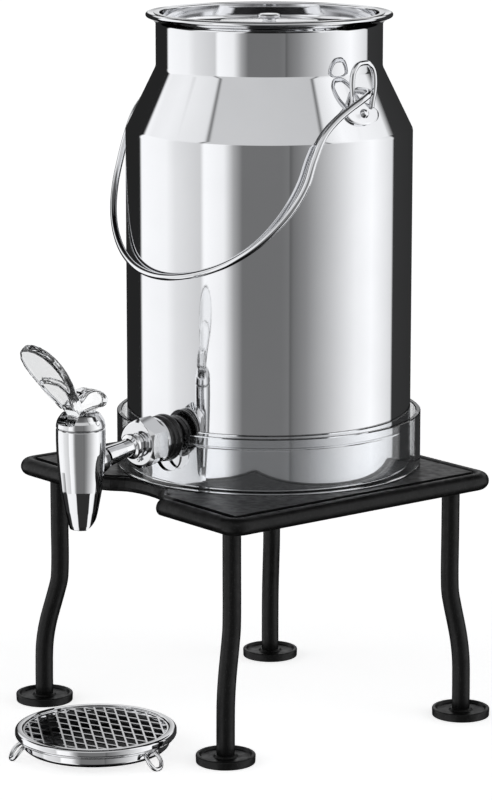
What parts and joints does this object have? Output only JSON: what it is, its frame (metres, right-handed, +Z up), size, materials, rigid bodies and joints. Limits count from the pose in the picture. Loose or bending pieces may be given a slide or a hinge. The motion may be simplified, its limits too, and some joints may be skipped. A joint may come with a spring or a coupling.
{
  "type": "milk can",
  "caption": "Polished steel milk can with a bail handle, lid and low tap, standing in a clear collar on a black legged stand over a round drip tray.",
  "frame": {"origin": "middle of the base of the bounding box, on the floor the stand and the drip tray share", "axes": "+Z up, -Y towards the tap and the drip tray, +X to the right seen from the tap's side"},
  "size_m": [0.2478, 0.31, 0.4215],
  "materials": {
    "polished_steel": "mirror polished",
    "chrome": "bright plated",
    "black_iron": "satin black over slightly hammered iron",
    "rubber": "matt black",
    "clear_acrylic": "clear and glossy"
  },
  "bodies": {
    "stand": {"plate": "black_iron", "rail_back": "black_iron", "rail_left": "black_iron", "rail_right": "black_iron", "rail_front_left": "black_iron", "rail_front_right": "black_iron", "rail_notch": "black_iron", "leg_front_left": "black_iron", "leg_front_right": "black_iron", "leg_back_left": "black_iron", "leg_back_right": "black_iron", "foot_front_left": "black_iron", "foot_front_right": "black_iron", "foot_back_left": "black_iron", "foot_back_right": "black_iron"},
    "collar": {"clear_collar": "clear_acrylic"},
    "can": {"can_body": "polished_steel", "can_neck": "polished_steel", "ear_left": "polished_steel", "ear_right": "polished_steel", "ear_rivet_left": "polished_steel", "ear_rivet_right": "polished_steel", "threaded_boss": "chrome", "outer_gasket": "rubber", "inner_gasket": "rubber", "inner_lock_nut": "chrome", "seal_washer": "rubber", "hex_nut": "chrome", "locking_screw": "chrome", "shank": "chrome", "spout_body": "chrome", "bonnet": "chrome", "pivot_pin": "chrome"},
    "lid": {"lid_pan": "polished_steel", "lid_knob": "polished_steel"},
    "bail": {"bail_handle": "polished_steel"},
    "lever": {"lever_handle": "clear_acrylic"},
    "valve": {"valve_stem": "chrome", "valve_plug": "rubber"},
    "tray": {"tray_basin": "chrome", "tray_foot_1": "chrome", "tray_foot_2": "chrome", "tray_foot_3": "chrome"},
    "grate": {"grate_ring": "chrome", "grate_mesh": "chrome"}
  },
  "joints": [
    {"name": "collar_lift", "type": "slide", "parent": "stand", "child": "collar", "axis": [0, 0, 1], "range_m": [0, 0.01]},
    {"name": "can_lift", "type": "slide", "parent": "stand", "child": "can", "axis": [0, 0, 1], "range_m": [0, 0.2]},
    {"name": "lid_lift", "type": "slide", "parent": "can", "child": "lid", "axis": [0, 0, 1], "range_m": [0, 0.08]},
    {"name": "bail_swing", "type": "hinge", "parent": "can", "child": "bail", "pos_m": [0.00155, 0.04946, 0.381], "axis": [-0.9936, 0.1132, 0], "range_deg": [0, 250]},
    {"name": "lever_pull", "type": "hinge", "parent": "can", "child": "lever", "pos_m": [0.00155, -0.11384, 0.2025], "axis": [1, 0, 0], "range_deg": [0, 20], "stiffness_Nm_per_rad": 0.4, "springref_deg": -11.46},
    {"name": "valve_lift", "type": "slide", "parent": "can", "child": "valve", "axis": [0, 0, 1], "range_m": [0, 0.003]},
    {"name": "tray_slide", "type": "slide", "parent": "stand", "child": "tray", "axis": [0, -1, 0], "range_m": [0, 0.15]},
    {"name": "grate_lift", "type": "slide", "parent": "tray", "child": "grate", "axis": [0, 0, 1], "range_m": [0, 0.05]}
  ],
  "couplings": [
    {"joint": "valve_lift", "follows": "lever_pull", "m_per_rad": 0.0085}
  ]
}
